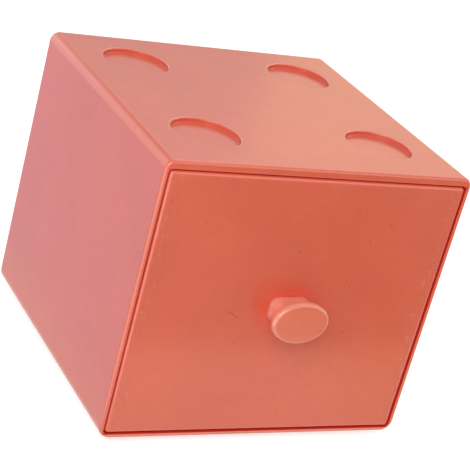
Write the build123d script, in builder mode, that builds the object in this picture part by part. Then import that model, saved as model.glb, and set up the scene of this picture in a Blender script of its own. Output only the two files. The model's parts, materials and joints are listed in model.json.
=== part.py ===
from build123d import *
from math import asin, degrees, sqrt
import os

# A single-drawer storage brick for a desk or craft table: an open-fronted moulded casing that
# stacks on its neighbours by four round feet and four round recesses, and one pull-out drawer
# with a mushroom knob.  Millimetres.  +X is right and -Y is towards someone facing the drawer.
# The origin is on the standing surface, midway between the four feet.

# ---------------------------------------------------------------- driving dimensions

# casing
case_w = 120.0
case_d = 117.0
case_h = 105.0
side_t = 1.6
floor_t = 1.6
top_t = 3.0
back_t = 2.0
long_edge_r = 3.5
low_edge_r = 4.6
back_edge_r = 3.0
rim_outer_r = 1.1
rim_inner_r = 0.3
opening_corner_r = 2.0

# stacking pattern, set in from the casing's sides and ends: the recesses in the top and the
# feet under the floor share it
stack_inset_x = 25.25
stack_inset_y = 26.0
recess_r = 12.25
recess_d = 1.8
recess_rim_r = 0.45
recess_floor_r = 0.3
nest_clear = 0.35

# feet
foot_h = 2.4
foot_edge_r = 0.4
plug_r = 4.0
plug_squeeze = 0.04
dish_r = 8.0
dish_d = 0.4

# drawer front, a shallow cap over the tray's front wall
front_gap = 0.65
front_t = 2.5
front_edge_r = 1.1
front_bevel_w = 1.6
front_bevel_d = 0.2
skirt_inset = 0.5
skirt_t = 1.2
skirt_d = 4.0
skirt_clear = 0.15

# tray
tray_side_t = 1.6
tray_floor_t = 1.6
tray_front_t = 2.0
tray_side_inset = 0.4
tray_drop = 8.0
tray_edge_r = 1.0
tray_well_r = 1.4
tray_well_floor_r = 1.2
tray_rim_r = 0.4
tray_back_gap = 2.5

# runners, guide ribs and stops
slide_clear = 0.3
runner_w = 3.0
runner_inset = 9.5
guide_w = 2.0
guide_clear = 0.4
guide_low_rise = 12.0
guide_high_drop = 14.0
rib_setback = 1.5
bumper_w = 3.0
bumper_h = 20.0
bumper_inset = 25.5
nub_ramp = 5.0
nub_land = 2.0
nub_h = 6.0
nub_bite = 1.1
tab_len = 8.0
tab_setback = 10.0
tab_headroom = 1.0
stop_clear = 0.3

# knob
cap_half_w = 11.05
cap_half_h = 7.95
cap_stand = 8.0
cap_edge_t = 3.0
cap_dome_r = 130.0
cap_back_r = 1.2
cap_front_r = 1.6
base_half_w = 7.8
base_half_h = 4.7
base_step = 0.8
neck_half_w = 7.0
neck_half_h = 4.2
neck_stand = 4.4
stem_corner_r = 3.4
spigot_inset = 1.0
spigot_d = 0.8
spigot_clear = 0.1

# knob screw and washer
screw_r = 1.5
screw_bite = 0.15
screw_hole_clear = 0.2
screw_grip = 6.5
pilot_spare = 1.0
head_r = 2.8
head_h = 2.0
head_edge_r = 0.8
shank_tip_r = 0.6
cross_len = 3.2
cross_w = 0.8
cross_d = 1.1
washer_r = 4.0
washer_t = 0.8

# ---------------------------------------------------------------- derived places

front_y = -case_d / 2
back_y = case_d / 2
case_z0 = foot_h
case_z1 = case_z0 + case_h
case_mid_z = (case_z0 + case_z1) / 2
floor_z = case_z0 + floor_t
ceiling_z = case_z1 - top_t
opening_w = case_w - 2 * side_t
opening_h = ceiling_z - floor_z
opening_mid_z = (floor_z + ceiling_z) / 2
inner_back_y = back_y - back_t

stack_dx = case_w - 2 * stack_inset_x
stack_dy = case_d - 2 * stack_inset_y
foot_r = recess_r - nest_clear
plug_hole_r = plug_r - plug_squeeze

front_w = opening_w - 2 * front_gap
front_h = opening_h - 2 * front_gap
front_corner_r = opening_corner_r - front_gap
front_back_y = front_y + front_t
knob_z = opening_mid_z

skirt_w = front_w - 2 * skirt_inset
skirt_h = front_h - 2 * skirt_inset
tray_w = skirt_w - 2 * (skirt_t + skirt_clear)
tray_h = skirt_h - 2 * (skirt_t + skirt_clear)
tray_z0 = opening_mid_z - tray_h / 2
tray_z1 = opening_mid_z + tray_h / 2
tray_side_z = tray_z1 - tray_drop
tray_back_y = inner_back_y - tray_back_gap
tray_in_y = front_back_y + tray_front_t
tray_back_r = tray_well_r + tray_side_t
body_w = tray_w - 2 * tray_side_inset
body_h = tray_side_z - tray_z0
well_w = body_w - 2 * tray_side_t
well_y1 = tray_back_y - tray_side_t

rib_y0 = front_back_y + skirt_d + rib_setback
rib_len = inner_back_y - rib_y0
rib_mid_y = (inner_back_y + rib_y0) / 2
runner_x = body_w / 2 - runner_inset
runner_h = tray_z0 - slide_clear - floor_z
guide_h = (opening_w - body_w) / 2 - guide_clear
guide_zs = [tray_z0 + guide_low_rise, tray_side_z - guide_high_drop]
bumper_x = body_w / 2 - bumper_inset
nub_y0 = front_back_y + skirt_d + rib_setback
nub_y1 = nub_y0 + nub_ramp + nub_land
nub_x = body_w / 2 - nub_bite
tab_y1 = tray_back_y - tab_setback
tab_y0 = tab_y1 - tab_len
tab_z1 = ceiling_z - tab_headroom
drawer_travel = tab_y0 - nub_y1 - stop_clear

pilot_r = screw_r - screw_bite
screw_hole_r = screw_r + screw_hole_clear
head_y = tray_in_y + washer_t
shank_len = head_y - front_y + screw_grip
pilot_depth = spigot_d + screw_grip + pilot_spare
spigot_half_w = base_half_w - spigot_inset
spigot_half_h = base_half_h - spigot_inset

# cap section, in distance from the knob's axis and distance from the drawer front: the front
# rounding is tangent to the dome, whose centre is on the axis
cap_round_x = cap_half_w - cap_front_r
cap_round_s = cap_stand + cap_edge_t - cap_front_r
dome_centre_s = cap_round_s - sqrt((cap_dome_r - cap_front_r) ** 2 - cap_round_x**2)
dome_angle = degrees(asin(cap_round_x / (cap_dome_r - cap_front_r)))
knob_reach = dome_centre_s + cap_dome_r

# a sketch on this plane is drawn as seen by someone facing the drawer: x is X, y is Z
mouth = Plane.XZ.offset(-front_y)
corners = {
    "front_left": (-stack_dx / 2, -stack_dy / 2),
    "front_right": (stack_dx / 2, -stack_dy / 2),
    "back_left": (-stack_dx / 2, stack_dy / 2),
    "back_right": (stack_dx / 2, stack_dy / 2),
}

os.makedirs("parts", exist_ok=True)


def finish(builder, name):
    """Label a finished piece and write its STEP file."""
    builder.part.label = name
    export_step(builder.part, f"parts/{name}.step")
    print(f"{name}: {len(builder.solids())} solid, {builder.part.volume:.0f} mm3")


def circles(builder, radius):
    """The builder's full-circle edges of one radius, lowest first."""
    return (
        builder.edges()
        .filter_by(GeomType.CIRCLE)
        .filter_by(lambda e: abs(e.radius - radius) < 1e-4 and e.is_closed)
        .sort_by(Axis.Z)
    )


# ---------------------------------------------------------------- casing

with BuildPart() as casing:
    # outside: one rounded block, softened round the back and round the front rim
    with BuildSketch(mouth) as outline:
        with Locations((0, case_mid_z)):
            Rectangle(case_w, case_h)
        fillet(outline.vertices().sort_by(Axis.Y)[-2:], long_edge_r)
        fillet(outline.vertices().sort_by(Axis.Y)[:2], low_edge_r)
    extrude(amount=-case_d)
    fillet(casing.faces().sort_by(Axis.Y)[-1].edges(), back_edge_r)
    fillet(casing.faces().sort_by(Axis.Y)[0].edges(), rim_outer_r)
    # the cavity that the drawer slides in
    with BuildSketch(mouth):
        with Locations((0, opening_mid_z)):
            RectangleRounded(opening_w, opening_h, opening_corner_r)
    extrude(amount=-(case_d - back_t), mode=Mode.SUBTRACT)
    rim_face = casing.faces().filter_by(Axis.Y).sort_by(Axis.Y)[0]
    fillet(rim_face.inner_wires()[0].edges(), rim_inner_r)
    # four shallow round recesses in the top
    with BuildSketch(Plane.XY.offset(case_z1)):
        with GridLocations(stack_dx, stack_dy, 2, 2):
            Circle(recess_r)
    extrude(amount=-recess_d, mode=Mode.SUBTRACT)
    fillet(circles(casing, recess_r)[-4:], recess_rim_r)
    fillet(circles(casing, recess_r)[:4], recess_floor_r)
    # four holes in the floor for the feet's plugs
    with BuildSketch(Plane.XY.offset(case_z0)):
        with GridLocations(stack_dx, stack_dy, 2, 2):
            Circle(plug_hole_r)
    extrude(amount=floor_t, mode=Mode.SUBTRACT)
    # two runners on the floor
    with BuildSketch(Plane.XY.offset(floor_z)):
        with Locations((-runner_x, rib_mid_y), (runner_x, rib_mid_y)):
            Rectangle(runner_w, rib_len)
    extrude(amount=runner_h)
    for side in (-1, 1):
        # two ribs on each side wall keep the narrower tray in line
        with BuildSketch(Plane.YZ.offset(side * opening_w / 2)):
            with Locations(*[(rib_mid_y, z) for z in guide_zs]):
                Rectangle(rib_len, guide_w)
        extrude(amount=-side * guide_h)
        # a ramped stop nub on each side wall, just behind the drawer front
        with BuildSketch(Plane.XY.offset(ceiling_z - nub_h)):
            with BuildLine():
                Polyline(
                    (side * opening_w / 2, nub_y0),
                    (side * nub_x, nub_y0 + nub_ramp),
                    (side * nub_x, nub_y1),
                    (side * opening_w / 2, nub_y1),
                    close=True,
                )
            make_face()
        extrude(amount=nub_h)
    # two bumpers on the back wall stop the closed drawer flush with the rim
    with BuildSketch(Plane.XZ.offset(-inner_back_y)):
        with Locations((-bumper_x, opening_mid_z), (bumper_x, opening_mid_z)):
            Rectangle(bumper_w, bumper_h)
    extrude(amount=tray_back_gap - slide_clear)
finish(casing, "casing")

# ---------------------------------------------------------------- feet

for corner, place in corners.items():
    with BuildPart() as foot:
        with BuildSketch(Plane.XY):
            with Locations(place):
                Circle(foot_r)
        extrude(amount=foot_h)
        fillet(circles(foot, foot_r)[0], foot_edge_r)
        # plug pressed up through the floor, flush with its upper face
        with BuildSketch(Plane.XY.offset(foot_h)):
            with Locations(place):
                Circle(plug_r)
        extrude(amount=floor_t)
        # shallow dish that leaves a ring to stand on
        with BuildSketch(Plane.XY):
            with Locations(place):
                Circle(dish_r)
        extrude(amount=dish_d, mode=Mode.SUBTRACT)
    finish(foot, f"foot_{corner}")

# ---------------------------------------------------------------- drawer tray

with BuildPart() as drawer_tray:
    # front wall, taller than the sides and back
    with BuildSketch(mouth.offset(-front_t)):
        with Locations((0, opening_mid_z)):
            RectangleRounded(tray_w, tray_h, tray_edge_r)
    extrude(amount=-tray_front_t)
    with BuildSketch(mouth.offset(-front_t - tray_front_t)) as body_section:
        with Locations((0, tray_z0 + body_h / 2)):
            Rectangle(body_w, body_h)
        fillet(body_section.vertices().group_by(Axis.Y)[0], tray_edge_r)
    extrude(amount=tray_in_y - tray_back_y)
    back_face = drawer_tray.faces().filter_by(Axis.Y).sort_by(Axis.Y)[-1]
    fillet(back_face.edges().filter_by(Axis.Z), tray_back_r)
    # the well that holds the contents
    with BuildSketch(Plane.XY.offset(tray_z0 + tray_floor_t)) as well_section:
        with Locations((0, (tray_in_y + well_y1) / 2)):
            Rectangle(well_w, well_y1 - tray_in_y)
        fillet(well_section.vertices().group_by(Axis.Y)[-1], tray_well_r)
    extrude(amount=body_h, mode=Mode.SUBTRACT)
    well_floor = drawer_tray.faces().filter_by(Axis.Z).sort_by(Axis.Z)[1]
    fillet(well_floor.edges(), tray_well_floor_r)
    rim = drawer_tray.faces().filter_by(Axis.Z).filter_by(
        lambda f: abs(f.center().Z - tray_side_z) < 1e-4
    )
    fillet(rim.edges().filter_by(lambda e: e.center().Y > tray_in_y + 1e-3), tray_rim_r)
    # a stop tab stands up from each side wall and meets the casing's nub
    for side in (-1, 1):
        with BuildSketch(Plane.XY.offset(tray_side_z - tray_rim_r)):
            with Locations((side * (body_w - tray_side_t) / 2, (tab_y0 + tab_y1) / 2)):
                Rectangle(tray_side_t, tab_len)
        extrude(amount=tab_z1 - tray_side_z + tray_rim_r)
    # clearance hole for the knob screw
    with BuildSketch(mouth.offset(-front_t)):
        with Locations((0, knob_z)):
            Circle(screw_hole_r)
    extrude(amount=-tray_front_t, mode=Mode.SUBTRACT)
finish(drawer_tray, "drawer_tray")

# ---------------------------------------------------------------- drawer front

with BuildPart() as drawer_front:
    # plate, then the very shallow bevel that frames its face
    with BuildSketch(mouth.offset(-front_t)):
        with Locations((0, opening_mid_z)):
            RectangleRounded(front_w, front_h, front_corner_r)
    extrude(amount=front_t - front_bevel_d)
    for depth, inset in ((front_bevel_d, 0), (0, front_bevel_w)):
        with BuildSketch(mouth.offset(-depth)):
            with Locations((0, opening_mid_z)):
                RectangleRounded(front_w - 2 * inset, front_h - 2 * inset, front_corner_r)
    loft()
    outline = drawer_front.edges().filter_by(
        lambda e: abs(e.center().Y - front_y - front_bevel_d) < 1e-4
    )
    fillet(outline, front_edge_r)
    # skirt that caps the tray's front wall
    with BuildSketch(mouth.offset(-front_t)):
        with Locations((0, opening_mid_z)):
            RectangleRounded(skirt_w, skirt_h, front_corner_r)
            RectangleRounded(
                tray_w + 2 * skirt_clear,
                tray_h + 2 * skirt_clear,
                tray_edge_r + skirt_clear,
                mode=Mode.SUBTRACT,
            )
    extrude(amount=-skirt_d)
    # oval socket for the knob's spigot, and the screw's clearance hole
    with BuildSketch(mouth):
        with Locations((0, knob_z)):
            Ellipse(spigot_half_w + spigot_clear, spigot_half_h + spigot_clear)
    extrude(amount=-(spigot_d + spigot_clear), mode=Mode.SUBTRACT)
    with BuildSketch(mouth):
        with Locations((0, knob_z)):
            Circle(screw_hole_r)
    extrude(amount=-front_t, mode=Mode.SUBTRACT)
finish(drawer_front, "drawer_front")

# ---------------------------------------------------------------- knob

with BuildPart() as knob:
    # spigot in the front's socket
    with BuildSketch(mouth):
        with Locations((0, knob_z)):
            Ellipse(spigot_half_w, spigot_half_h)
    extrude(amount=-spigot_d)
    # base step, then a waisted stem up into the cap
    with BuildSketch(mouth):
        with Locations((0, knob_z)):
            RectangleRounded(2 * base_half_w, 2 * base_half_h, stem_corner_r)
    extrude(amount=base_step)
    stem_sections = (
        (base_step, base_half_w, base_half_h),
        (neck_stand, neck_half_w, neck_half_h),
        (cap_stand + cap_back_r, base_half_w, base_half_h),
    )
    for stand, half_w, half_h in stem_sections:
        with BuildSketch(mouth.offset(stand)):
            with Locations((0, knob_z)):
                RectangleRounded(2 * half_w, 2 * half_h, stem_corner_r)
    loft()
    # cap: a round domed button turned about the knob's axis, then narrowed to an oval
    with BuildSketch(Plane((0, front_y, knob_z), x_dir=(1, 0, 0), z_dir=(0, 0, -1))):
        with BuildLine():
            back_x = cap_half_w - cap_back_r
            Line((0, cap_stand), (back_x, cap_stand))
            CenterArc((back_x, cap_stand + cap_back_r), cap_back_r, -90, 90)
            Line((cap_half_w, cap_stand + cap_back_r), (cap_half_w, cap_round_s))
            CenterArc((cap_round_x, cap_round_s), cap_front_r, 0, 90 - dome_angle)
            CenterArc((0, dome_centre_s), cap_dome_r, 90 - dome_angle, dome_angle)
            Line((0, knob_reach), (0, cap_stand))
        make_face()
    cap = revolve(axis=Axis((0, front_y, knob_z), (0, -1, 0)), mode=Mode.PRIVATE)
    scale(
        cap,
        by=(1, 1, cap_half_h / cap_half_w),
        about=(0, front_y, knob_z),
        mode=Mode.ADD,
    )
    # pilot hole for the screw, in from the back
    with BuildSketch(mouth.offset(-spigot_d)):
        with Locations((0, knob_z)):
            Circle(pilot_r)
    extrude(amount=pilot_depth, mode=Mode.SUBTRACT)
finish(knob, "knob")

# ---------------------------------------------------------------- screw and washer

with BuildPart() as knob_screw:
    with BuildSketch(Plane.XZ.offset(-head_y)):
        with Locations((0, knob_z)):
            Circle(screw_r)
    extrude(amount=shank_len)
    tip = knob_screw.edges().sort_by(Axis.Y)[0]
    chamfer(tip, shank_tip_r)
    with BuildSketch(Plane.XZ.offset(-head_y)):
        with Locations((0, knob_z)):
            Circle(head_r)
    extrude(amount=-head_h)
    fillet(knob_screw.faces().sort_by(Axis.Y)[-1].edges(), head_edge_r)
    # cross recess for the driver
    with BuildSketch(Plane.XZ.offset(-head_y - head_h)):
        with Locations((0, knob_z)):
            Rectangle(cross_len, cross_w)
            Rectangle(cross_w, cross_len)
    extrude(amount=cross_d, mode=Mode.SUBTRACT)
finish(knob_screw, "knob_screw")

with BuildPart() as knob_washer:
    with BuildSketch(Plane.XZ.offset(-tray_in_y)):
        with Locations((0, knob_z)):
            Circle(washer_r)
            Circle(screw_hole_r, mode=Mode.SUBTRACT)
    extrude(amount=-washer_t)
finish(knob_washer, "knob_washer")

# ---------------------------------------------------------------- what the sizes come to

print(f"drawer travel {drawer_travel:.1f}, knob reach {knob_reach:.2f}")
print(f"tray {body_w:.2f} x {tray_back_y - front_back_y:.2f}")
print(f"tray well z {tray_z0 + tray_floor_t:.2f} to {tray_side_z:.2f}")
print(f"ceiling z {ceiling_z:.2f}, knob z {knob_z:.2f}, runner height {runner_h:.2f}")
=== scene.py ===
# %% [markdown]
# # A stacking storage brick in coral plastic
#
# The brick is a hollow moulded box with one drawer. Ten pieces make it: the casing, four feet
# under its floor, the drawer's tray, its front plate, an oval mushroom knob, and the screw and
# washer that hold the knob on from inside. Their shapes come from the CAD model, so this lesson
# is about finish: what makes an injection-moulded surface look like one, and how soft light and
# a long lens show it.

# %% Load the frame
import json
import math

import bpy
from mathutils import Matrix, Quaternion, Vector


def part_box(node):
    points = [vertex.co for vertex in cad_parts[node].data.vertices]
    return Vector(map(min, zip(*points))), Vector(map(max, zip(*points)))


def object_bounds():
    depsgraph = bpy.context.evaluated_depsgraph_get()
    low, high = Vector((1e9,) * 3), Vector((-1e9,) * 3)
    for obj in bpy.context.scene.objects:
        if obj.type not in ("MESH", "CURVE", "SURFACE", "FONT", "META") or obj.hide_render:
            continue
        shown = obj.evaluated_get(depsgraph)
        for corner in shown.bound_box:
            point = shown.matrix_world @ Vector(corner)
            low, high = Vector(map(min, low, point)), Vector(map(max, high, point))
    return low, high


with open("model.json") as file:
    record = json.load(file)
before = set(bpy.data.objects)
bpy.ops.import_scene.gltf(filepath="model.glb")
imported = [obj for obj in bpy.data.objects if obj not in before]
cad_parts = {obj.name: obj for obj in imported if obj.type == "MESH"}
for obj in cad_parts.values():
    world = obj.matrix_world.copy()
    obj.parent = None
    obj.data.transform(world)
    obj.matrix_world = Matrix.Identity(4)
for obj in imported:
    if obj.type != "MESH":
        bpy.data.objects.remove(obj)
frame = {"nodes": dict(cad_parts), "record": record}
cad_low, cad_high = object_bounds()
MM = 0.001
print("pieces:", ", ".join(sorted(frame["nodes"])))
print("size in mm:", [round(side / MM, 1) for side in cad_high - cad_low])

# %% [markdown]
# ## Where the camera stands
#
# The camera stands to the left of the brick and above it, and it is rolled, so that upright
# edges lean to the right. It could be dragged into place by hand, but an orbit keeps each choice
# apart: a point to aim at, two angles, a distance and the roll. The lens is long, 122 mm on a
# 36 mm sensor, which keeps the far edges nearly as large as the near ones.

# %% Camera
AIM = Vector((0.00495, -0.0028, 0.05467))
AZIMUTH = math.radians(-31.082)
ELEVATION = math.radians(22.780)
ROLL = math.radians(15.399)
DISTANCE = 0.5983
SENSOR_WIDTH, FOCAL_LENGTH = 36.0, 121.96

lens = bpy.data.cameras.new("camera")
lens.sensor_width = SENSOR_WIDTH
lens.lens = FOCAL_LENGTH
camera = bpy.data.objects.new("camera", lens)
bpy.context.scene.collection.objects.link(camera)
bpy.context.scene.camera = camera

outward = Vector((
    math.sin(AZIMUTH) * math.cos(ELEVATION),
    -math.cos(AZIMUTH) * math.cos(ELEVATION),
    math.sin(ELEVATION),
))
camera.location = AIM + outward * DISTANCE
camera.rotation_mode = "QUATERNION"
level = (-outward).to_track_quat("-Z", "Y")
camera.rotation_quaternion = level @ Quaternion((0, 0, 1), ROLL)
print("camera at", [round(place, 3) for place in camera.location])

# %% [markdown]
# ## Writing shader maths as Python
#
# A finish is a graph of nodes, and a graph built call by call is hard to read. The class below
# wraps one output socket, so that `1 - mask` or `cloud * 0.04` adds the Math node by itself.


# %% Wires
class Wire:
    """One output socket, which takes part in Python sums."""

    def __init__(self, tree, socket):
        self.tree = tree
        self.socket = socket

    def also(self, output):
        """Another output of the same node."""
        return Wire(self.tree, self.socket.node.outputs[output])

    def join(self, operation, left, right):
        """Numbers meet in a Math node, and anything with a vector in a Vector Math node."""
        wires = [side for side in (left, right) if isinstance(side, Wire)]
        vector = any(wire.socket.type == "VECTOR" for wire in wires)
        kind = "ShaderNodeVectorMath" if vector else "ShaderNodeMath"
        return self.tree.node(kind, {"operation": operation}, {0: left, 1: right})

    def __add__(self, other):
        return self.join("ADD", self, other)

    def __sub__(self, other):
        return self.join("SUBTRACT", self, other)

    def __mul__(self, other):
        return self.join("MULTIPLY", self, other)

    def __radd__(self, other):
        return self.join("ADD", other, self)

    def __rsub__(self, other):
        return self.join("SUBTRACT", other, self)

    def __rmul__(self, other):
        return self.join("MULTIPLY", other, self)

    def __abs__(self):
        return self.tree.node("ShaderNodeMath", {"operation": "ABSOLUTE"}, {0: self})


# %% [markdown]
# Every other node comes from `Tree.node`. It sets the node's own settings first, because some of
# them change which sockets there are, and then fills its sockets with values or links.


# %% Trees
class Tree:
    """A node tree, cleared, and the one method that adds a node to it."""

    def __init__(self, owner):
        owner.use_nodes = True
        self.nodes = owner.node_tree.nodes
        self.links = owner.node_tree.links
        self.nodes.clear()

    def node(self, kind, settings=None, sockets=None, output=0):
        made = self.nodes.new(kind)
        for name, value in (settings or {}).items():
            setattr(made, name, value)
        for name, value in (sockets or {}).items():
            self.feed(made.inputs[name], value)
        return Wire(self, made.outputs[output]) if made.outputs else made

    def feed(self, socket, value):
        if isinstance(value, Wire):
            self.links.new(value.socket, socket)
        elif socket.type == "VECTOR" and isinstance(value, (int, float)):
            socket.default_value = (value, value, value)
        elif socket.type == "RGBA" and len(value) == 3:
            socket.default_value = (*value, 1.0)
        else:
            socket.default_value = value


# %% [markdown]
# ## Patterns in real millimetres
#
# A mark on plastic has a size: a burnt speck is about half a millimetre, a hairline scratch is
# a twentieth. A painted image could hold such marks, but it blurs close up and needs an
# unwrapped mesh. So every pattern here is worked out from the piece's own coordinates in
# millimetres, which also keeps the marks on the drawer when it slides.


# %% Places and distances
def place_mm(tree):
    """The piece's own coordinates in millimetres."""
    return tree.node("ShaderNodeTexCoord", output="Object") * (1 / MM)


def axes(tree, place):
    """X, Y and Z of a place, each a wire."""
    x = tree.node("ShaderNodeSeparateXYZ", {}, {"Vector": place})
    return x, x.also("Y"), x.also("Z")


def point(tree, x=0.0, y=0.0, z=0.0):
    """A place from three values or wires."""
    return tree.node("ShaderNodeCombineXYZ", {}, {"X": x, "Y": y, "Z": z})


def length(tree, vector):
    return tree.node("ShaderNodeVectorMath", {"operation": "LENGTH"}, {0: vector}, output="Value")


def nearest(tree, first, *others):
    """The smallest of some wires."""
    for other in others:
        first = tree.node("ShaderNodeMath", {"operation": "MINIMUM"}, {0: first, 1: other})
    return first


# %% [markdown]
# A mask is a wire that runs from 0 to 1. Sharp steps flicker when a mark is smaller than a
# pixel, so all these tools rise and fall softly, over distances that each mark gives.


# %% Soft masks
LINE_CORE, LINE_END = 0.25, 0.75


def step(tree, value, low, high):
    """0 below low, 1 above high, and a smooth rise in between."""
    return tree.node(
        "ShaderNodeMapRange",
        {"interpolation_type": "SMOOTHSTEP"},
        {"Value": value, "From Min": low, "From Max": high},
    )


def fall(tree, value, low, high):
    """1 below low, and 0 above high."""
    return 1 - step(tree, value, low, high)


def between(tree, value, low, high, soft):
    """1 from low to high, and 0 outside, with soft ends."""
    risen = step(tree, value, low - soft, low + soft)
    return risen * fall(tree, value, high - soft, high + soft)


def line(tree, distance, width):
    """1 on a line of this width in millimetres, fading over its edges."""
    return fall(tree, abs(distance), LINE_CORE * width, LINE_END * width)


# %% [markdown]
# Noise gives a surface its clouds, and a Mix node goes from one colour to another by a mask.


# %% Noise and colours
def noise(tree, place, sizes, detail=2.0):
    """Cloudy noise from -0.5 to 0.5, with blots of these sizes in millimetres along X, Y, Z."""
    stretched = place * tuple(1.0 / size for size in sizes)
    cloud = tree.node(
        "ShaderNodeTexNoise", {}, {"Vector": stretched, "Scale": 1.0, "Detail": detail}
    )
    return cloud - 0.5


def tinted(tree, amount, near, far):
    """A colour between near and far. With nothing of far in it, no node is needed."""
    if not isinstance(amount, Wire) and amount == 0:
        return near
    sockets = {"Factor": amount, "A": near, "B": far}
    return tree.node("ShaderNodeMix", {"data_type": "RGBA"}, sockets, output="Result")


# %% [markdown]
# ## Marks that moulding and use leave
#
# A polished mould gives a smooth skin, but never a perfect one. Burnt pigment shows as sparse
# dark specks. Handling leaves hairlines, and a few scratches that you can find again. They are
# too fine to model as geometry, so each is a function that gives a mask, and a finish can use
# it in colour, gloss and height alike.

# %% Specks, hairlines and scratches
SPECK_CORE = 0.55
HAIR_PATCH = (11.0, 11.0, 11.0)
HAIR_FROM, HAIR_FULL = 0.04, 0.14


def specks(tree, place, spacing, radius):
    """Dots where the random points of a Voronoi cell happen to lie in the surface."""
    cell = tree.node(
        "ShaderNodeTexVoronoi", {}, {"Vector": place, "Scale": 1.0 / spacing}, output="Distance"
    )
    return fall(tree, cell, SPECK_CORE * radius / spacing, radius / spacing)


def hairlines(tree, place, sizes, width):
    """Long thin lines, where stretched noise passes through zero, kept only in some patches."""
    wave = noise(tree, place, sizes, detail=1.0)
    patches = step(tree, noise(tree, place, HAIR_PATCH), HAIR_FROM, HAIR_FULL)
    return line(tree, wave, width / min(sizes)) * patches


def scratch(tree, place, start, end, width):
    """A straight scratch between two points of the piece, in millimetres."""
    start, end = Vector(start), Vector(end)
    along = (end - start).normalized()
    reach = (end - start).length
    offset = place - tuple(start)
    travel = tree.node(
        "ShaderNodeVectorMath", {"operation": "DOT_PRODUCT"}, {0: offset, 1: along}, output="Value"
    )
    held = tree.node("ShaderNodeClamp", {}, {"Value": travel, "Min": 0.0, "Max": reach})
    closest = point(tree, held * along.x, held * along.y, held * along.z)
    return line(tree, length(tree, offset - closest), width)


# %% [markdown]
# ## The coral plastic
#
# All the moulded pieces are one kind of plastic, so one function makes them all, and each piece
# adds its own marks. The colour is a strong coral with soft clouds in it, and the knob, which
# comes from a mould of its own, is a little paler.
#
# Coloured plastic also looks deeper in narrow places, and here that is painted. Light that
# bounces between two close walls loses green and blue at every bounce, and some soaks through a
# thin wall as pure red, so the gap round the drawer glows dark red. A scattering shader could
# work this out, but it is noisy in a gap of less than a millimetre. So masks paint it: one gives
# such walls, the recess walls and the plate round the knob a painted deeper shade and a faint
# painted red glow, and another gives the edges on both sides of the gap a painted red glow.

# %% Coral colours
CORAL = (0.720, 0.152, 0.088)
KNOB_CORAL = (0.790, 0.215, 0.132)
CLOUD_DEPTH = 0.93
# The gap red and the two red glows below are painted shade and light. The pale colour serves pale
# marks and painted highlights, and the burnt one specks, scratches and painted shade.
CORAL_PALE = (0.820, 0.370, 0.300)
SHADE_RED = (0.820, 0.040, 0.012)
NO_GLOW, SHADE_GLOW_RED, EDGE_GLOW_RED = (0.0, 0.0, 0.0), (0.060, 0.0, 0.0), (0.160, 0.006, 0.005)
BURNT_AND_SHADE = (0.200, 0.022, 0.012)

# %% [markdown]
# The gloss is a satin that mirrors the table without a sharp picture. A bump node takes the
# height of the skin in millimetres: slow waves like orange peel, a fine grain, and the depth of
# the marks.

# %% Sizes and strengths of the skin
CLOUD, MOTTLE, SMUDGE = (30.0, 30.0, 30.0), (3.2, 3.2, 3.2), (14.0, 14.0, 14.0)
MOTTLE_SHARE, CLOUD_REACH = 0.5, 0.3
SPECK_SPACING, SPECK_R = 7.0, 0.4
HAIR_SIZES, HAIR_WIDTH = (40.0, 40.0, 1.6), 0.05
WAVE, GRAIN = (7.0, 7.0, 7.0), (0.7, 0.7, 0.7)
HAIR_PALE, SPECK_DARK = 0.04, 0.5
SMUDGE_DULL, HAIR_DULL, DEEP_DULL = 0.07, 0.05, 0.3
WAVE_HIGH, HAIR_LOW, SPECK_LOW, MARK_HIGH = 0.03, 0.0006, 0.004, 0.008
PLASTIC_IOR = 1.57
NO_MARKS = (0.0, 0.0, 0.0, 0.0, 0.0)


# %% Coral
def bumped(tree, height):
    """A normal for a skin of this height in millimetres."""
    return tree.node("ShaderNodeBump", {}, {"Strength": 1.0, "Distance": MM, "Height": height})


def surface(tree, sockets):
    """A Principled surface, wired to the material's output."""
    shell = tree.node("ShaderNodeBsdfPrincipled", {}, sockets)
    tree.node("ShaderNodeOutputMaterial", {}, {"Surface": shell})


def coral_plastic(name, coral=CORAL, gloss=0.20, grain=0.002, marks=None):
    """Moulded coral plastic. marks(tree, place) gives masks: pale marks and painted highlights,
    dark marks and painted shade, dullness, painted deep red shade, and painted red glow.
    """
    material = bpy.data.materials.new(name)
    tree = Tree(material)
    place = place_mm(tree)
    cloud = noise(tree, place, CLOUD) + noise(tree, place, MOTTLE, detail=3.0) * MOTTLE_SHARE
    dots = specks(tree, place, SPECK_SPACING, SPECK_R)
    hair = hairlines(tree, place, HAIR_SIZES, HAIR_WIDTH)
    pale_and_highlight, dark_and_shade, dull, red_shade, edge_glow = marks(tree, place) if marks else NO_MARKS

    clouded = tuple(channel * CLOUD_DEPTH for channel in coral)
    colour = tinted(tree, step(tree, cloud, -CLOUD_REACH, CLOUD_REACH), clouded, coral)
    # Painted light and shade: the deep red mask paints shade, the pale mask paints highlights as
    # well as pale marks, the dark mask paints shade as well as specks and scratches, and the
    # emission paints a red glow.
    colour = tinted(tree, red_shade, colour, SHADE_RED)
    colour = tinted(tree, hair * HAIR_PALE + pale_and_highlight, colour, CORAL_PALE)
    colour = tinted(tree, dots * SPECK_DARK + dark_and_shade, colour, BURNT_AND_SHADE)
    painted_glow = tinted(tree, edge_glow, tinted(tree, red_shade, NO_GLOW, SHADE_GLOW_RED), EDGE_GLOW_RED)

    smudge = noise(tree, place, SMUDGE, detail=4.0)
    rough = gloss + smudge * SMUDGE_DULL + hair * HAIR_DULL + dull + red_shade * DEEP_DULL
    skin = noise(tree, place, WAVE, detail=1.0) * WAVE_HIGH
    skin = skin + noise(tree, place, GRAIN) * grain
    skin = skin - hair * HAIR_LOW - dots * SPECK_LOW + pale_and_highlight * MARK_HIGH - dark_and_shade * MARK_HIGH
    surface(tree, {
        "Base Color": colour, "Roughness": rough, "IOR": PLASTIC_IOR,
        "Normal": bumped(tree, skin), "Emission Color": painted_glow, "Emission Strength": 1.0,
    })
    return material
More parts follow.
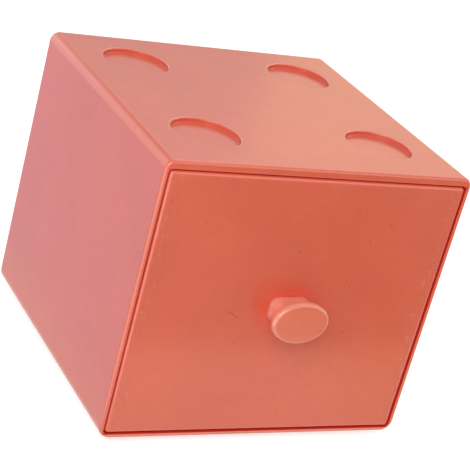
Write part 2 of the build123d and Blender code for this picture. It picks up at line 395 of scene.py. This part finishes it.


# %% [markdown]
# ## Marks on the casing
#
# A round insert in the mould leaves a fine ring, its witness line, round each recess in the
# top. The imported record gives the pitch and radius of the recesses, so the rings follow the
# model. The wall of a recess takes a painted highlight at its rim and painted shade below. Two
# small handling marks lie on the left: a short curl between the recesses there, and a pale line
# beside the front one.

# %% Recesses
mounts = {mount["name"]: mount["dims"] for mount in frame["record"]["mounts"]}
RECESSES = mounts["top_recesses"]
PITCH_X, PITCH_Y = RECESSES["spacing_x_mm"], RECESSES["spacing_y_mm"]
WALL_R = RECESSES["hole_r_mm"]
TOP_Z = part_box("casing")[1].z / MM
ON_TOP = (TOP_Z - 0.6, TOP_Z - 0.3)
RING_R, RING_WIDTH = WALL_R + 0.55, 0.28
RECESS_WALL = (WALL_R - 0.2, WALL_R + 0.2, 0.1)
WALL_SHADED, WALL_HIGHLIGHT = (TOP_Z - 2.0, TOP_Z - 0.45, 0.2), (TOP_Z - 0.3, TOP_Z - 0.15)
CURL_CENTRE, CURL_R, CURL_WIDTH, CURL_ENDS = (-38.4, 6.0, TOP_Z), 2.0, 0.22, (-38.6, -37.6)
FLOW_LINE = ((-53.0, -19.6, TOP_Z), (-44.5, -20.4, TOP_Z), 0.3)
RING_PALE, FLOW_PALE, RIM_HIGHLIGHT_PALE = 0.35, 0.3, 0.45
CURL_DARK, SHADED_DARK, RING_DULL, SHADED_DEEP = 0.25, 0.12, 0.06, 0.3
print("recess pitch", PITCH_X, PITCH_Y, "witness ring radius", RING_R)


def top_marks(tree, place):
    """Pale, dark, dull and deep masks of the top, with painted highlight and shade."""
    x, y, z = axes(tree, place)
    from_centre = length(tree, point(tree, abs(x) - PITCH_X / 2, abs(y) - PITCH_Y / 2))
    ring = line(tree, from_centre - RING_R, RING_WIDTH) * step(tree, z, *ON_TOP)
    from_curl = length(tree, place - CURL_CENTRE)
    curl = line(tree, from_curl - CURL_R, CURL_WIDTH) * fall(tree, x, *CURL_ENDS)
    # Painted shade lies on the lower recess wall, and a painted highlight on its rim.
    wall = between(tree, from_centre, *RECESS_WALL)
    shaded = wall * between(tree, z, *WALL_SHADED)
    rim_highlight = wall * step(tree, z, *WALL_HIGHLIGHT)
    flow = scratch(tree, place, *FLOW_LINE)
    pale_and_highlight = ring * RING_PALE + flow * FLOW_PALE + rim_highlight * RIM_HIGHLIGHT_PALE
    dark_and_shade = curl * CURL_DARK + shaded * SHADED_DARK
    return pale_and_highlight, dark_and_shade, ring * RING_DULL, shaded * SHADED_DEEP


# %% [markdown]
# The casing's mouth is where the drawer's gap is. Its walls take painted shade, a deep red, as
# far in as light gets, its lower rim a painted highlight, and the lip round the gap a painted
# glow.

# %% Mouth
OPENING_X, OPENING_Z = 58.4, (4.0, 104.4)
SIDE_WALLS = (OPENING_X + 0.02, OPENING_X + 0.08)
UPRIGHT = (OPENING_Z[0] - 0.05, OPENING_Z[1] + 0.05, 0.03)
LIT_INSIDE = (-53.0, -51.0)
RIM_FACE = (-57.6, -56.6)
LOW_RIM = (OPENING_Z[0] - 0.4, OPENING_Z[0])
LIP = (-0.8, -0.1)
LOW_RIM_HIGHLIGHT, OPENING_SHADE, LIP_GLOW = 0.4, 0.7, 0.6


def mouth_marks(tree, place):
    """Masks of the mouth: painted highlight, painted shade, painted red shade and painted glow."""
    x, y, z = axes(tree, place)
    opening = fall(tree, abs(x), *SIDE_WALLS) * fall(tree, y, *LIT_INSIDE)
    opening = opening * between(tree, z, *UPRIGHT)
    on_rim = fall(tree, y, *RIM_FACE)
    low_rim = fall(tree, z, *LOW_RIM) * on_rim
    inside = nearest(tree, OPENING_X - abs(x), z - OPENING_Z[0], OPENING_Z[1] - z)
    lip = step(tree, inside, *LIP) * on_rim
    # Painted shade on the mouth's walls, a painted highlight on its lower rim, a painted glow on
    # the lip.
    return low_rim * LOW_RIM_HIGHLIGHT, opening * OPENING_SHADE, opening, lip * LIP_GLOW


def casing_marks(tree, place):
    top_pale_and_highlight, top_dark_and_shade, dull, top_red_shade = top_marks(tree, place)
    mouth_highlight, mouth_shade, mouth_red_shade, edge_glow = mouth_marks(tree, place)
    return top_pale_and_highlight + mouth_highlight, top_dark_and_shade + mouth_shade, dull, mouth_red_shade + top_red_shade, edge_glow


# %% [markdown]
# ## Marks on the knob
#
# The knob's neck and the thin rim of its cap carry a painted highlight, paler than the rest, for
# the light that they catch from all sides. The cap is oval, so distances from its axis are taken
# with X drawn in, which makes the oval a circle and lets one radius serve all round.

# %% Knob
knob_low, knob_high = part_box("knob")
KNOB_Z = (knob_low.z + knob_high.z) / 2 / MM
KNOB_WIDE = (knob_high.z - knob_low.z) / (knob_high.x - knob_low.x)
KNOB_RISE = (knob_high.z - knob_low.z) / 2 / MM
NECK = (knob_low.y / MM + 3.6, knob_low.y / MM + 5.0)
CAP_RIM = (KNOB_RISE - 1.2, KNOB_RISE - 0.5)
NECK_HIGHLIGHT, CAP_RIM_HIGHLIGHT = 0.3, 0.35
print("knob at z", round(KNOB_Z, 1), "with a cap", round(2 * KNOB_RISE, 1), "high")


def from_knob(tree, x, z):
    """Distance from the knob's axis, in which the oval cap counts as round."""
    return length(tree, point(tree, x=x * KNOB_WIDE, z=z - KNOB_Z))


def knob_marks(tree, place):
    x, y, z = axes(tree, place)
    # Painted highlights on the neck and on the rim of the cap.
    neck = step(tree, y, *NECK)
    rim = step(tree, from_knob(tree, x, z), *CAP_RIM)
    return neck * NECK_HIGHLIGHT + rim * (1 - neck) * CAP_RIM_HIGHLIGHT, 0.0, 0.0, 0.0, 0.0


# %% [markdown]
# ## Marks on the drawer's front
#
# The front plate carries the marks that show most. The tray's side walls stand close behind its
# left and right borders, and the melt leaves upright streaks there. Left of the knob are two
# short scratches, where something was knocked against it. Round the knob the plate is painted a
# deeper red, a painted shade and reflection, as the cap keeps the pale room out and sends its own
# colour back, and a painted shadow rings the seat of its stem.

# %% Face of the plate
front_low, front_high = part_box("drawer_front")
FACE_Y = front_low.y / MM
ON_FACE = (FACE_Y + 0.25, FACE_Y + 0.6)
BORDER = (52.6, 56.2, 0.5)
STREAK, STREAK_FROM, STREAK_FULL = (0.8, 30.0, 4.5), 0.02, 0.2
KNOCKS = (
    ((-22.9, -58.5, 52.8), (-21.2, -58.5, 51.7), 0.55),
    ((-20.6, -58.5, 51.4), (-19.1, -58.5, 50.8), 0.5),
)
UNDER_CAP, STEM_SEAT = (4.0, 12.0), (4.0, 4.9, 0.3)
print("drawer face at y", round(FACE_Y, 2))

# %% [markdown]
# The plate's rounded edge has three zones of its own. Its outer band takes a faint painted
# highlight, its rim a painted red glow, and at the bottom and on the right its rim takes a
# stronger painted highlight and glow. Behind the rim, the side of the plate is a wall of the gap
# and takes the painted deep red shade.

# %% Edge of the plate
FRONT_X, FRONT_Z = front_high.x / MM, (front_low.z / MM, front_high.z / MM)
ROUNDED, RIM = (0.9, 1.7), (0.4, 1.2)
RIM_BACK = (FACE_Y + 0.7, FACE_Y + 1.2)
SIDE = (FACE_Y + 0.9, FACE_Y + 5.0, 0.2)


def plate_edge(tree, x, y, z):
    """Masks of the rounded band, the rim, and its lower right part, for painted light."""
    edge = nearest(tree, FRONT_X - abs(x), FRONT_Z[1] - z, z - FRONT_Z[0])
    rim = fall(tree, edge, *RIM) * fall(tree, y, *RIM_BACK)
    low_edge = fall(tree, nearest(tree, FRONT_X - x, z - FRONT_Z[0]), *RIM) * rim
    return fall(tree, edge, *ROUNDED), rim, low_edge


# %% [markdown]
# One function adds up the masks of the face and the edge, each with its own strength.

# %% Front marks
STREAK_PALE, ROUNDED_HIGHLIGHT, LOW_EDGE_HIGHLIGHT = 0.2, 0.03, 0.5
KNOCK_DARK, BORDER_DARK, SEAT_SHADOW, BORDER_DULL = 0.35, 0.015, 0.5, 0.06
SIDE_SHADE, CAP_SHADE, RIM_GLOW, LOW_EDGE_GLOW = 0.6, 0.33, 0.25, 0.9


def front_marks(tree, place):
    x, y, z = axes(tree, place)
    on_face = fall(tree, y, *ON_FACE)
    border = between(tree, abs(x), *BORDER) * on_face
    streaks = step(tree, noise(tree, place, STREAK, detail=3.0), STREAK_FROM, STREAK_FULL)
    long_knock, short_knock = [scratch(tree, place, *knock) for knock in KNOCKS]
    # A painted shadow rings the stem's seat, and painted shade and reflection lie under the cap.
    off_knob = from_knob(tree, x, z)
    seat = between(tree, off_knob, *STEM_SEAT) * on_face
    under_cap = fall(tree, off_knob, *UNDER_CAP) * on_face
    rounded, rim, low_edge = plate_edge(tree, x, y, z)
    side = between(tree, y, *SIDE)
    # Painted highlights on the rounded band and the lower right rim, painted shade on the side,
    # and a painted glow on the rim.
    pale_and_highlight = border * streaks * STREAK_PALE + rounded * on_face * ROUNDED_HIGHLIGHT + low_edge * LOW_EDGE_HIGHLIGHT
    dark_and_shade = (long_knock + short_knock) * KNOCK_DARK + border * BORDER_DARK + seat * SEAT_SHADOW
    red_shade = side * SIDE_SHADE + under_cap * CAP_SHADE
    return pale_and_highlight, dark_and_shade, border * BORDER_DULL, red_shade, rim * RIM_GLOW + low_edge * LOW_EDGE_GLOW


# %% [markdown]
# ## Marks in the tray
#
# The tray is hidden while the drawer is shut. Its floor shows the round marks of the pins that
# push a moulding out of its mould, which such trays have, and its inside is a little duller.

# %% Tray marks
PIN_R, PIN_X, PIN_Y, PIN_LINE = 3.0, 36.0, 36.0, 0.25
TRAY_FLOOR = (8.4, 9.0)
PIN_PALE, PIN_DARK, PIN_DULL, TRAY_DULL = 0.25, 0.05, 0.05, 0.05


def tray_marks(tree, place):
    x, y, z = axes(tree, place)
    from_pin = length(tree, point(tree, abs(x) - PIN_X, abs(y) - PIN_Y))
    ring = line(tree, from_pin - PIN_R, PIN_LINE) * fall(tree, z, *TRAY_FLOOR)
    return ring * PIN_PALE, ring * PIN_DARK, TRAY_DULL + ring * PIN_DULL, 0.0, 0.0


# %% [markdown]
# ## Zinc-plated steel
#
# The screw and its washer sit inside the drawer. Zinc plate is a pale bluish metal that is
# slightly cloudy, with fine turning marks. One flat grey would look like paint, so here the
# roughness wanders more than the colour does.

# %% Steel
ZINC_DIM, ZINC_BRIGHT = (0.62, 0.64, 0.66), (0.74, 0.75, 0.77)
ZINC_CLOUD, ZINC_REACH = (1.6, 1.6, 1.6), 0.2
TURNED, TURNED_HIGH = (0.12, 2.5, 0.12), 0.004
ZINC_ROUGH, CLOUD_ROUGH = 0.30, 0.25


def zinc_plate(name):
    material = bpy.data.materials.new(name)
    tree = Tree(material)
    place = place_mm(tree)
    cloud = noise(tree, place, ZINC_CLOUD, detail=4.0)
    clouded = step(tree, cloud, -ZINC_REACH, ZINC_REACH)
    turned = noise(tree, place, TURNED)
    surface(tree, {
        "Base Color": tinted(tree, clouded, ZINC_DIM, ZINC_BRIGHT),
        "Metallic": 1.0, "Roughness": ZINC_ROUGH + cloud * CLOUD_ROUGH,
        "Normal": bumped(tree, turned * TURNED_HIGH),
    })
    return material


# %% [markdown]
# ## Hand out the finishes
#
# Feet are matt, so that they grip. The knob is the glossiest piece, because fingers polish it.
# The record gives each piece its slot, so one loop hands out the finishes.

# %% Finishes
finishes = {
    "casing": coral_plastic("casing_coral", marks=casing_marks),
    "foot": coral_plastic("foot_coral", gloss=0.42, grain=0.008),
    "tray": coral_plastic("tray_coral", gloss=0.24, marks=tray_marks),
    "front": coral_plastic("front_coral", marks=front_marks),
    "knob": coral_plastic("knob_coral", coral=KNOB_CORAL, gloss=0.13, marks=knob_marks),
    "screw": zinc_plate("screw_zinc"),
    "washer": zinc_plate("washer_zinc"),
}
for subpart in frame["record"]["subparts"]:
    piece = frame["nodes"][subpart["node"]]
    piece.data.materials.clear()
    piece.data.materials.append(finishes[subpart["material_slot"]])
    print(subpart["node"], "wears", finishes[subpart["material_slot"]].name)

# %% [markdown]
# ## Floor
#
# The brick stands on white paper in a white room. A camera ray sees both as plain white. A
# glossy plastic also mirrors them, and that is half of its look. Real cards and cloths round
# the brick could give the same mirror images, but they would also change the light, so a glossy
# ray gets a floor that is painted for it. First come the sheet itself and the tools that tell
# one kind of ray from another.

# %% Sheet
FLOOR_HALF = 4.0
corners = [(x * FLOOR_HALF, y * FLOOR_HALF, 0) for x, y in ((-1, -1), (1, -1), (1, 1), (-1, 1))]
floor_mesh = bpy.data.meshes.new("floor")
floor_mesh.from_pydata(corners, [], [(0, 1, 2, 3)])
floor = bpy.data.objects.new("floor", floor_mesh)
bpy.context.scene.collection.objects.link(floor)
print("floor", 2 * FLOOR_HALF, "m wide")


# %% Kinds of ray
def ray(tree, kind):
    """1 for a ray of this kind, and 0 for any other."""
    return tree.node("ShaderNodeLightPath", output=f"Is {kind} Ray")


def seen_directly(tree):
    """1 for a ray that shows the stage itself, straight or through something clear."""
    return ray(tree, "Camera") + ray(tree, "Transmission")


def mix(tree, amount, near, far):
    """A number between near and far."""
    sockets = {"Factor": amount, "A": near, "B": far}
    return tree.node("ShaderNodeMix", {"data_type": "FLOAT"}, sockets)


# %% [markdown]
# The paper ends a hand's width in front of the brick, so the drawer front mirrors white below
# and a dark table above. Both get warmer towards the right, but only on the slanting patch that
# the closed front mirrors, so that the side of an open drawer stays clean. The left side mirrors
# paper in cool shade, brighter far behind. A painted patch of window light lies on the mirrored
# floor at the front left, and gives every edge that turns that way a painted pale reflection.

# %% Zones of the mirrored floor
BRICK_X, BRICK_Y = cad_low.x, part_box("casing")[0].y
PAPER_EDGE = (-0.137, -0.113)
FRONT_EDGE, LEFT_EDGE = (BRICK_Y - 0.012, BRICK_Y + 0.02), (BRICK_X - 0.03, BRICK_X + 0.01)
WARM_FROM, WARM_UNTIL, MIRROR_SLANT = (0.03, 0.12), (0.025, 0.055), 0.6
FAR_FROM = (0.3, 0.6)
PAPER, PAPER_WARM = (1.2, 1.2, 1.12), (1.15, 1.0, 0.38)
TABLE, TABLE_WARM = (0.35, 0.32, 0.3), (0.05, 0.03, 0.0)
PAPER_SHADED, PAPER_FAR, PAPER_SUNLIT = (1.04, 0.92, 1.2), (1.75, 1.65, 1.85), (3.0, 3.0, 3.1)


def mirrored_floor(tree):
    """The floor's colour for a glossy ray."""
    x, y, _ = axes(tree, tree.node("ShaderNodeTexCoord", output="Object"))
    in_front = fall(tree, y, *FRONT_EDGE)
    at_left = fall(tree, x, *LEFT_EDGE)
    warm = step(tree, x, *WARM_FROM) * in_front * fall(tree, x + y * MIRROR_SLANT, *WARM_UNTIL)
    table = tinted(tree, warm, TABLE, TABLE_WARM)
    paper = tinted(tree, warm, PAPER, PAPER_WARM)
    colour = tinted(tree, step(tree, y, *PAPER_EDGE), table, paper)
    colour = tinted(tree, at_left, colour, PAPER_SHADED)
    colour = tinted(tree, at_left * step(tree, y, *FAR_FROM), colour, PAPER_FAR)
    return tinted(tree, at_left * in_front, colour, PAPER_SUNLIT)


# %% [markdown]
# The sheet itself is matt, so it takes the brick's shadow, and a glow that only the camera sees
# lifts it to white. From below it is clear, so that the feet can be looked at.

# %% Floor
FLOOR_SEEN = 0.66
FLOOR_GREY = (0.70, 0.70, 0.70)
WHITE = (1.0, 1.0, 1.0)

floor_white = bpy.data.materials.new("floor_white")
tree = Tree(floor_white)
painted = tree.node("ShaderNodeEmission", {}, {"Color": mirrored_floor(tree), "Strength": 1.0})
shown = seen_directly(tree) * FLOOR_SEEN
glow = tree.node("ShaderNodeEmission", {}, {"Color": WHITE, "Strength": shown})
matt = tree.node("ShaderNodeBsdfDiffuse", {}, {"Color": FLOOR_GREY})
lit = tree.node("ShaderNodeAddShader", {}, {0: matt, 1: glow})
lit = tree.node("ShaderNodeMixShader", {}, {"Fac": ray(tree, "Glossy"), 1: lit, 2: painted})
below = tree.node("ShaderNodeNewGeometry", output="Backfacing")
clear = tree.node("ShaderNodeBsdfTransparent")
sheet = tree.node("ShaderNodeMixShader", {}, {"Fac": below, 1: lit, 2: clear})
tree.node("ShaderNodeOutputMaterial", {}, {"Surface": sheet})
floor_mesh.materials.append(floor_white)
print("floor wears", floor_white.name)

# %% [markdown]
# ## Room
#
# The room, too, is more than white. Its walls are brightest in front, and the back wall, which
# the top mirrors, gets brighter from the floor up, with a bright window at its left end. A
# second pane stands at the front right. The ceiling is bright at the right, dim at the back
# left and dark behind the softbox at the front left. Each rounded edge mirrors a strip of this
# room, which gives it its dark and pale lines. A photographed room would do this too, but a few
# soft steps in the world's own directions are enough, and each can be moved by itself.

# %% Zones of the room
WALL_FRONT, WALL_BACK_LOW, WALL_BACK_HIGH = 1.3, 0.6, 1.1
WALL_RISE, WALL_TURN = (0.2, 0.45), (-0.1, 0.9)
WINDOW, WINDOW_FROM = 0.5, (0.85, 1.3)
PANE, PANE_X, PANE_Y = 1.0, (0.25, 0.45), (-0.6, -0.45)
CEILING_DIM, CEILING_BRIGHT, CEILING_FROM = 0.5, 2.1, (0.45, 0.55)
BRIGHT_X, BRIGHT_Y, DARK_CORNER = (0.0, 0.42), (-0.3, 0.2), (-0.6, -0.1)


def mirrored_room(tree):
    """The room's brightness for a glossy ray, by the direction it goes."""
    x, y, z = axes(tree, tree.node("ShaderNodeTexCoord", output="Generated"))
    diagonal = x + y
    wall_back = mix(tree, step(tree, z, *WALL_RISE), WALL_BACK_LOW, WALL_BACK_HIGH)
    wall = mix(tree, step(tree, diagonal, *WALL_TURN), WALL_FRONT, wall_back)
    wall = wall + step(tree, y - x, *WINDOW_FROM) * WINDOW
    at_right = step(tree, x, *BRIGHT_X) * step(tree, y, *BRIGHT_Y)
    ceiling = mix(tree, at_right, CEILING_DIM, CEILING_BRIGHT)
    ceiling = ceiling * step(tree, diagonal, *DARK_CORNER)
    room = mix(tree, step(tree, z, *CEILING_FROM), wall, ceiling)
    return room + step(tree, x, *PANE_X) * fall(tree, y, *PANE_Y) * PANE


# %% [markdown]
# The camera sees the room as white. Diffuse rays get an even and slightly warm light from it.

# %% Room
AMBIENT, AMBIENT_WARM = 0.56, (1.0, 0.72, 0.61)

world = bpy.data.worlds.new("studio")
bpy.context.scene.world = world
world.cycles.sampling_method = "NONE"
tree = Tree(world)
seen = seen_directly(tree)
lighting = 1 - seen - ray(tree, "Glossy")
strength = seen + ray(tree, "Glossy") * mirrored_room(tree) + lighting * AMBIENT
hue = tinted(tree, lighting, WHITE, AMBIENT_WARM)
backdrop = tree.node("ShaderNodeBackground", {}, {"Color": hue, "Strength": strength})
tree.node("ShaderNodeOutputWorld", {}, {"Surface": backdrop})
print("ambient light", AMBIENT)

# %% [markdown]
# ## Light
#
# A large softbox stands to the front left and does most of the work. Cool daylight comes from
# the left, from behind and from above. A warm lamp behind on the right shades the top from left
# to right, and a small warm one draws the bright line on the rim of the knob. Two low softboxes
# fill the back and the right side, which the camera doesn't see. A lamp could be placed by its
# coordinates, but here it is given as a photographer would say it: where it stands round the
# brick, and how bright its cloth is. Its power follows.

# %% Softboxes
# name, azimuth from +X towards +Y, elevation, distance, width, brightness, colour
SOFTBOXES = (
    ("key", -130, 34, 1.3, 0.9, 3.94, WHITE),
    ("window", 178, 26, 1.3, 0.9, 0.56, (0.02, 0.6, 1.0)),
    ("back_left", 118, 20, 1.3, 0.8, 0.44, (0.02, 0.52, 1.0)),
    ("overhead", 0, 88, 1.2, 1.0, 0.5, (0.06, 0.74, 1.0)),
    ("warm_back", 40, 17, 1.2, 0.8, 0.55, (1.0, 0.62, 0.18)),
    ("warm_right", 8, 32, 1.2, 0.22, 5.0, (1.0, 0.72, 0.5)),
    ("back_fill", 98, 3, 1.3, 0.8, 1.5, WHITE),
    ("right_fill", -4, 3, 1.3, 0.8, 1.5, WHITE),
)


def softbox(name, azimuth, elevation, distance, width, brightness, colour):
    """A square softbox that faces the brick. The angles are in degrees, the sizes in metres."""
    turn, rise = math.radians(azimuth), math.radians(elevation)
    flat = math.cos(rise)
    outwards = Vector((math.cos(turn) * flat, math.sin(turn) * flat, math.sin(rise)))
    lamp = bpy.data.lights.new(name, "AREA")
    lamp.shape = "SQUARE"
    lamp.size = width
    lamp.color = colour
    lamp.energy = brightness * math.pi * width**2
    box = bpy.data.objects.new(name, lamp)
    box.location = AIM + distance * outwards
    box.rotation_mode = "QUATERNION"
    box.rotation_quaternion = (-outwards).to_track_quat("-Z", "Y")
    bpy.context.scene.collection.objects.link(box)
    print(name, round(lamp.energy, 1), "W")


for values in SOFTBOXES:
    softbox(*values)

# %% [markdown]
# ## Show it
#
# The view transform stays plain, so that a colour renders about as it is written.

# %% View settings and finish
bpy.context.scene.view_settings.view_transform = "Standard"
